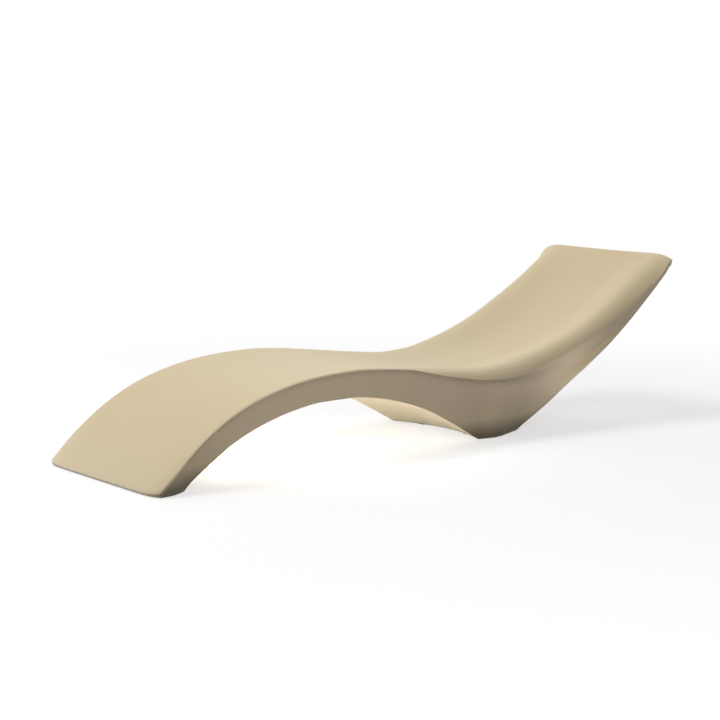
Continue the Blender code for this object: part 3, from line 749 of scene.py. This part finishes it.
def placedPoints(share, at, upper, lower):
    # The bowed front of the toe and the bowed soles move the points along the length.
    form = shellForm
    x = share * form["length"]
    fade = max(0, 1 - (x - form["toeBow"]) / (form["toeBowReach"] * form["heel"] * form["length"]))
    placed = []
    for points, bow in ((upper, 0), (lower, footBow(share))):
        for y, z in points:
            shift = -form["toeBow"] * fade**2 * (1 - min(1, y / at.outer) ** form["toeBowSquare"])
            shift += bow * (1 - min(1, y / at.foot) ** 2)
            placed.append((x + shift - form["length"] / 2, -y, z))
    return placed


def halfSection(share):
    # From the middle of the top, round the near side, to the middle of the underside.
    at = measuresAt(share)
    upper = []
    for i in range(shellFine["top"]):
        y = at.crest * i / shellFine["top"]
        upper.append((y, topHeight(at, y)))
    for i in range(shellFine["roll"] + 1):
        y = at.crest + at.rollWidth * math.sin(at.turn * i / shellFine["roll"]) / math.sin(at.turn)
        upper.append((y, topHeight(at, y)))
    widest = at.ridge - at.rollDrop
    for i in range(1, shellFine["lip"]):
        u = i / shellFine["lip"]
        upper.append((at.outer + (at.creaseY - at.outer) * u, widest + (at.creaseZ - widest) * u))
    for i in range(shellFine["wall"]):
        upper.append(wallPoint(at, i / shellFine["wall"] * (1 - at.ease)))
    return placedPoints(share, at, upper, cornerAndUnderside(at))


def steepness(height, share):
    # How much longer a sloping stretch of this height is than its plan length.
    step = hollow["slopeStep"]
    rise = height(share + step) - height(share - step)
    return math.hypot(1, rise / (2 * step * shellForm["length"]))


def hollowSection(share):
    # The hollow's half section: drawn in by the wall thickness, without the lip.
    at = measuresAt(share)
    wall = hollow["wall"]
    down = wall * steepness(ridgeHeight, share)
    up = wall * steepness(lowerEdge, share)
    start = min(at.ridge - at.rollDrop - down, at.creaseZ)
    begin = (at.creaseZ - start) / at.fallZ
    edge = wallPoint(at, begin)[0] - wall
    upper = []
    count = shellFine["top"] + shellFine["roll"]
    for i in range(count):
        y = edge * math.sin(math.pi / 2 * i / count)
        spread = y + (at.outer - edge) * (y / edge) ** hollow["square"]
        upper.append((y, topHeight(at, spread) - down))
    last = wallPoint(at, 1 - at.ease)[1] + up
    for i in range(shellFine["wall"]):
        u = i / shellFine["wall"]
        side = wallPoint(at, begin + (1 - at.ease - begin) * u)[0]
        upper.append((side - wall, start + (last - start) * u))
    lower = [(max(0, y - wall), z + up) for y, z in cornerAndUnderside(at)]
    return placedPoints(share, at, upper, lower)


def wholeRing(near):
    return near + [(x, -y, z) for x, y, z in near[-2:0:-1]]


def shellShares():
    # Where the sections stand: close together round the toe and the head, evenly between the marks.
    form, fine = shellForm, shellFine
    tip = form["toeBow"] / form["length"]
    corner = form["planCorner"] / form["length"]
    roundEnd = form["headRadius"] / form["length"]
    marks = [tip + corner, form["heel"], form["footFront"], form["footRear"], 1 - roundEnd]
    found = [tip + corner * (1 - math.cos(math.pi / 2 * i / fine["toe"])) for i in range(fine["toe"])]
    counts = (fine["sole"], fine["arch"], fine["foot"], fine["back"])
    for low, high, count in zip(marks, marks[1:], counts):
        found += [low + (high - low) * i / count for i in range(count)]
    for i in range(fine["head"] + 1):
        found.append(1 - roundEnd * (1 - math.sin(math.pi / 2 * i / fine["head"])))
    return found


def loftRings(rings):
    # A closed skin over the rings, with strips of four-sided faces across both ends.
    topSteps = shellFine["top"]
    made = bmesh.new()
    rows = [[made.verts.new(point) for point in ring] for ring in rings]
    count = len(rows[0])
    for row, following in zip(rows, rows[1:]):
        for i in range(count):
            k = (i + 1) % count
            made.faces.new((row[i], row[k], following[k], following[i]))
    middle = count // 2
    for row in (rows[0], rows[-1]):
        for i in range(topSteps):
            for side in (1, -1):
                top = (row[side * i], row[side * (i + 1)])
                made.faces.new((*top, row[middle - side * (i + 1)], row[middle - side * i]))
        for side in (1, -1):
            made.faces.new([row[side * i] for i in range(topSteps, middle - topSteps + 1)])
    bmesh.ops.recalc_face_normals(made, faces=made.faces)
    return made


def pieceFrom(name, maker, finish, place=None):
    mesh = bpy.data.meshes.new(name)
    maker.to_mesh(mesh)
    maker.free()
    mesh.materials.append(finish)
    mesh.shade_smooth()
    piece = bpy.data.objects.new(name, mesh)
    if place is not None:
        piece.matrix_world = place
    bpy.context.scene.collection.objects.link(piece)
    return piece


# The hollow, and what is let into the moulding: pads, threaded inserts, drain bush and breather plug.
# A pair is a radius and a depth or height. slopeStep is the share over which a slope is measured.
hollow = {
    "wall": 0.006,
    "sections": 60,
    "square": 10,
    "slopeStep": 0.002,
    "solidToe": 0.085,
    "gap": 0.0003,
    "overrun": 0.02,
    "padCorner": 0.008,
    "padSteps": 3,
    "boss": (0.011, 0.005),
    "insertCollar": (0.005, 0.0066),
    "insertBody": (0.0042, 0.0171),
    "insertSteps": 32,
    "drainHeight": 0.068,
    "drainSeat": (0.027, 0.004),
    "drainBore": (0.0188, 0.020),
    "drainCollar": 0.006,
    "drainSteps": 64,
    "collarSteps": 48,
    "ventInset": 0.150,
    "ventSeat": (0.0103, 0.0025),
    "ventBore": 0.006,
    "ventSteps": 48,
}


def scaledCube(length, width, height, lift=0):
    # A block on the origin, raised by the lift, with its four upright edges.
    maker = bmesh.new()
    bmesh.ops.create_cube(maker, size=1)
    bmesh.ops.scale(maker, vec=(length, width, height), verts=maker.verts)
    bmesh.ops.translate(maker, vec=(0, 0, lift), verts=maker.verts)
    upright = []
    for edge in maker.edges:
        first, second = edge.verts
        if abs(first.co.z - second.co.z) > height / 2:
            upright.append(edge)
    return maker, upright


def roundEdges(maker, edges, radius, steps):
    bmesh.ops.bevel(maker, geom=edges, offset=radius, segments=steps, profile=0.5, affect="EDGES")


def turnedCutter(name, profile, steps, place):
    # The profile, pairs of radius and height, turned once round the place's Z axis.
    maker = bmesh.new()
    corners = [maker.verts.new((radius, 0, z)) for radius, z in profile]
    edges = [maker.edges.new(pair) for pair in zip(corners, corners[1:])]
    bmesh.ops.spin(
        maker, geom=corners + edges, cent=(0, 0, 0), axis=(0, 0, 1),
        angle=2 * math.pi, steps=steps, use_merge=True,
    )
    bmesh.ops.remove_doubles(maker, verts=maker.verts, dist=0.00001)
    bmesh.ops.recalc_face_normals(maker, faces=maker.faces)
    return pieceFrom(name, maker, sandPolyethylene, place)


def pocketCutter(name, node):
    # Room for a pad with the gap all round, from below the floor up to its top.
    low, high = (Vector(corner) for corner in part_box(node))
    gap = hollow["gap"]
    sizes = high - low
    height = high.z + gap + hollow["overrun"]
    maker, upright = scaledCube(sizes.x + 2 * gap, sizes.y + 2 * gap, height)
    roundEdges(maker, upright, hollow["padCorner"] + gap, hollow["padSteps"])
    middle = (low + high) / 2
    place = Matrix.Translation((middle.x, middle.y, high.z + gap - height / 2))
    return pieceFrom(name, maker, sandPolyethylene, place)


def smoothUpTo(piece, angle):
    # Smooth shading, with edges sharper than the angle kept crisp.
    piece.data.shade_smooth()
    piece.data.set_sharp_from_angle(angle=math.radians(angle))


def cutFrom(target, cutters, operation="DIFFERENCE"):
    # Cuts or joins the cutters with the target for good, then deletes them.
    for cutter in cutters:
        step = target.modifiers.new(cutter.name, "BOOLEAN")
        step.operation = operation
        step.object = cutter
        step.solver = "EXACT"
    bpy.context.view_layer.update()
    shape = target.evaluated_get(bpy.context.evaluated_depsgraph_get())
    mesh = bpy.data.meshes.new_from_object(shape)
    target.modifiers.clear()
    target.data = mesh
    for cutter in cutters:
        bpy.data.objects.remove(cutter)


def undersidePlace(share):
    # A point on the underside's middle line, and the turn that points +Z out of it there.
    here, ahead = (Vector(halfSection(at)[-1]) for at in (share, share + hollow["slopeStep"] / 2))
    across = Vector((0, 1, 0))
    outward = (ahead - here).normalized().cross(across)
    if outward.z > 0:
        outward.negate()
    turn = Matrix((across.cross(outward), across, outward)).transposed()
    return Matrix.Translation(here) @ turn.to_4x4()


def backShareAt(height):
    # Halves the span again and again down to the share at which the back wall has this height.
    low, high = shellForm["footRear"], 1
    for _ in range(40):
        middle = (low + high) / 2
        low, high = (middle, high) if lowerEdge(middle) < height else (low, middle)
    return low


def insertPlaces():
    # The upright axis of each insert, from the floor up.
    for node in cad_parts:
        if node.startswith("insert_"):
            low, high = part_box(node)
            yield Matrix.Translation(((low[0] + high[0]) / 2, (low[1] + high[1]) / 2, 0))


def makeHollow(drainPlace):
    # The bosses over the inserts and the collar round the drain are left standing in it.
    start = hollow["solidToe"] / shellForm["length"]
    end = 1 - (shellForm["headRadius"] + 2 * hollow["wall"]) / shellForm["length"]
    count = hollow["sections"]
    rings = [wholeRing(hollowSection(start + (end - start) * i / count)) for i in range(count + 1)]
    cavity = pieceFrom("cavityCutter", loftRings(rings), sandPolyethylene)
    over, gap = hollow["overrun"], hollow["gap"]
    radius, cover = hollow["boss"]
    bossTop = hollow["insertBody"][1] + cover
    boss = [(0, -over), (radius, -over), (radius, bossTop), (0, bossTop)]
    bosses = [turnedCutter("boss", boss, hollow["insertSteps"], place) for place in insertPlaces()]
    radius = hollow["drainBore"][0] - gap + hollow["drainCollar"]
    depth = hollow["drainSeat"][1] + hollow["drainBore"][1]
    collar = [(0, -depth), (radius, -depth), (radius, over), (0, over)]
    bosses.append(turnedCutter("collar", collar, hollow["collarSteps"], drainPlace))
    cutFrom(cavity, bosses)
    return cavity


def shellCutters(drainPlace):
    # Pockets, sockets, the stepped drain hole and the stepped breather hole.
    over, gap = hollow["overrun"], hollow["gap"]
    pads = [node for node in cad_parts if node.startswith("pad_") and "screw" not in node]
    cutters = [pocketCutter("pocket", pad) for pad in pads]
    collar, step = hollow["insertCollar"]
    body, top = hollow["insertBody"]
    socket = [
        (0, 0), (collar + gap, 0), (collar + gap, step + gap), (body + gap, step + gap),
        (body + gap, top + gap), (0, top + gap),
    ]
    for place in insertPlaces():
        cutters.append(turnedCutter("socket", socket, hollow["insertSteps"], place))
    seat, depth = hollow["drainSeat"]
    bore, reach = hollow["drainBore"]
    end = -depth + gap - reach - hollow["drainCollar"]
    drain = [(0, end), (bore, end), (bore, -depth), (seat, -depth), (seat, over), (0, over)]
    cutters.append(turnedCutter("drainHole", drain, hollow["drainSteps"], drainPlace))
    seat, depth = hollow["ventSeat"]
    bore = hollow["ventBore"]
    vent = [(0, -over), (bore, -over), (bore, -depth), (seat, -depth), (seat, over), (0, over)]
    ventPlace = undersidePlace(1 - hollow["ventInset"] / shellForm["length"])
    cutters.append(turnedCutter("ventHole", vent, hollow["ventSteps"], ventPlace))
    return cutters


def buildShell():
    rings = [wholeRing(halfSection(share)) for share in shellShares()]
    shell = pieceFrom("shellSkin", loftRings(rings), sandPolyethylene)
    drainPlace = undersidePlace(backShareAt(hollow["drainHeight"]))
    cutFrom(shell, [makeHollow(drainPlace), *shellCutters(drainPlace)])
    smoothUpTo(shell, shellFine["sharpAngle"])
    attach(shell, "lounger")
    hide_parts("shell")
    return shell


shell = buildShell()
print("stage: shell,", len(shell.data.polygons), "faces")


# The screw plug of the drain: a hollow barrel, a rounded flange and a bar to turn it by. Heights are
# measured along the drain's axis, from the skin of the back wall outwards.
drainPlug = {
    "barrel": (0.0100, 0.0142),
    "barrelEnds": (-0.0151, -0.0031),
    "chamferShare": 1 / 6,
    "flangeLow": 0.0009,
    "flangeHigh": 0.0059,
    "flangeRadius": 0.0225,
    "rimRadius": 0.0012,
    "rimSteps": 6,
    "turnSteps": 96,
    "bar": (0.034, 0.007, 0.0124),
    "barEndSteps": 6,
    "barEdge": 0.0012,
    "barEdgeSteps": 4,
    "sharpAngle": 40,
}


def plugProfile():
    # From the web that closes the barrel, down round its open end, and out over the flange.
    form = drainPlug
    inner, barrel = form["barrel"]
    end, web = form["barrelEnds"]
    low, high = form["flangeLow"], form["flangeHigh"]
    rim, edge = form["flangeRadius"], form["rimRadius"]
    chamfer = (barrel - inner) * form["chamferShare"]
    profile = [(0, web), (inner, web), (inner, end), (barrel - chamfer, end), (barrel, end + chamfer)]
    profile += [(barrel, low), (rim, low)]
    for i in range(form["rimSteps"] + 1):
        turn = math.pi / 2 * i / form["rimSteps"]
        profile.append((rim - edge + edge * math.cos(turn), high - edge + edge * math.sin(turn)))
    return profile + [(0, high)]


def plugBar(finish, place):
    form = drainPlug
    length, width, top = form["bar"]
    base = (form["flangeLow"] + form["flangeHigh"]) / 2
    maker, upright = scaledCube(length, width, top - base, (top + base) / 2)
    roundEdges(maker, upright, width / 3, form["barEndSteps"])
    below = top - form["rimRadius"] / 2
    crown = [edge for edge in maker.edges if min(corner.co.z for corner in edge.verts) > below]
    roundEdges(maker, crown, form["barEdge"], form["barEdgeSteps"])
    return pieceFrom("plugBar", maker, finish, place)


def buildDrainPlug(finish):
    place = undersidePlace(backShareAt(hollow["drainHeight"]))
    plug = turnedCutter("screwPlug", plugProfile(), drainPlug["turnSteps"], place)
    bar = plugBar(finish, place)
    bpy.context.view_layer.update()
    cutFrom(plug, [bar], "UNION")
    plug.data.materials.clear()
    plug.data.materials.append(finish)
    smoothUpTo(plug, drainPlug["sharpAngle"])
    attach(plug, "plug")
    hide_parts("drain_plug")


# Finishes of the fittings. Sizes are metres; worn shows on outward edges.
fittingLooks = {
    "rubber": {
        "name": "padRubber",
        "colour": (0.034, 0.033, 0.031), "light": (0.055, 0.052, 0.048), "dark": (0.021, 0.021, 0.021),
        "worn": (0.11, 0.10, 0.085), "roughness": 0.78, "metallic": 0, "bumpDepth": 0.00009,
        "patchSize": 0.018, "patchAmount": 0.7, "waveSize": 0.0016, "grainSize": 0.0003,
    },
    "steel": {
        "name": "screwSteel",
        "colour": (0.56, 0.56, 0.55), "light": (0.66, 0.66, 0.65), "dark": (0.40, 0.39, 0.38),
        "worn": (0.74, 0.74, 0.73), "roughness": 0.30, "metallic": 1, "bumpDepth": 0.00001,
        "patchSize": 0.004, "patchAmount": 0.6, "waveSize": 0.0006, "grainSize": 0.00015,
    },
    "brass": {
        "name": "insertBrass",
        "colour": (0.66, 0.46, 0.19), "light": (0.74, 0.55, 0.26), "dark": (0.44, 0.29, 0.12),
        "worn": (0.80, 0.62, 0.32), "roughness": 0.36, "metallic": 1, "bumpDepth": 0.000015,
        "patchSize": 0.005, "patchAmount": 0.7, "waveSize": 0.0008, "grainSize": 0.0002,
    },
    "fitting": {
        "name": "sandFitting",
        "colour": (0.50, 0.41, 0.265), "light": (0.545, 0.452, 0.30), "dark": (0.445, 0.36, 0.228),
        "worn": (0.60, 0.505, 0.345), "roughness": 0.42, "metallic": 0, "bumpDepth": 0.00003,
        "patchSize": 0.02, "patchAmount": 0.5, "waveSize": 0.002, "grainSize": 0.0004,
    },
}

# What the fittings' finishes have in common.
fittingWear = {"wearSharpness": 0.53, "wearPatch": 0.002, "wearAmount": 0.6, "grainGloss": 0.16}


def makeFittingLook(look):
    look = {**fittingWear, **look}
    made, tree, shader = newMaterial(look["name"], look["roughness"], look["metallic"])
    edge = mathNode(tree, "MULTIPLY", placeWear(tree, look), look["wearAmount"])
    worn = mixColour(tree, edge, placeDrift(tree, look), look["worn"])
    tree.links.new(worn, shader.inputs["Base Color"])
    tree.links.new(placeSkin(tree, shader, look), shader.inputs["Roughness"])
    return made


def dressFittings():
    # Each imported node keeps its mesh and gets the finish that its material's name stands for.
    made = {slotName: makeFittingLook(look) for slotName, look in fittingLooks.items()}
    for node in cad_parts.values():
        for i, old in enumerate(node.data.materials):
            if old.name in made:
                node.data.materials[i] = made[old.name]
    return made


fittingFinishes = dressFittings()
buildDrainPlug(fittingFinishes["fitting"])
print("stage: fittings")
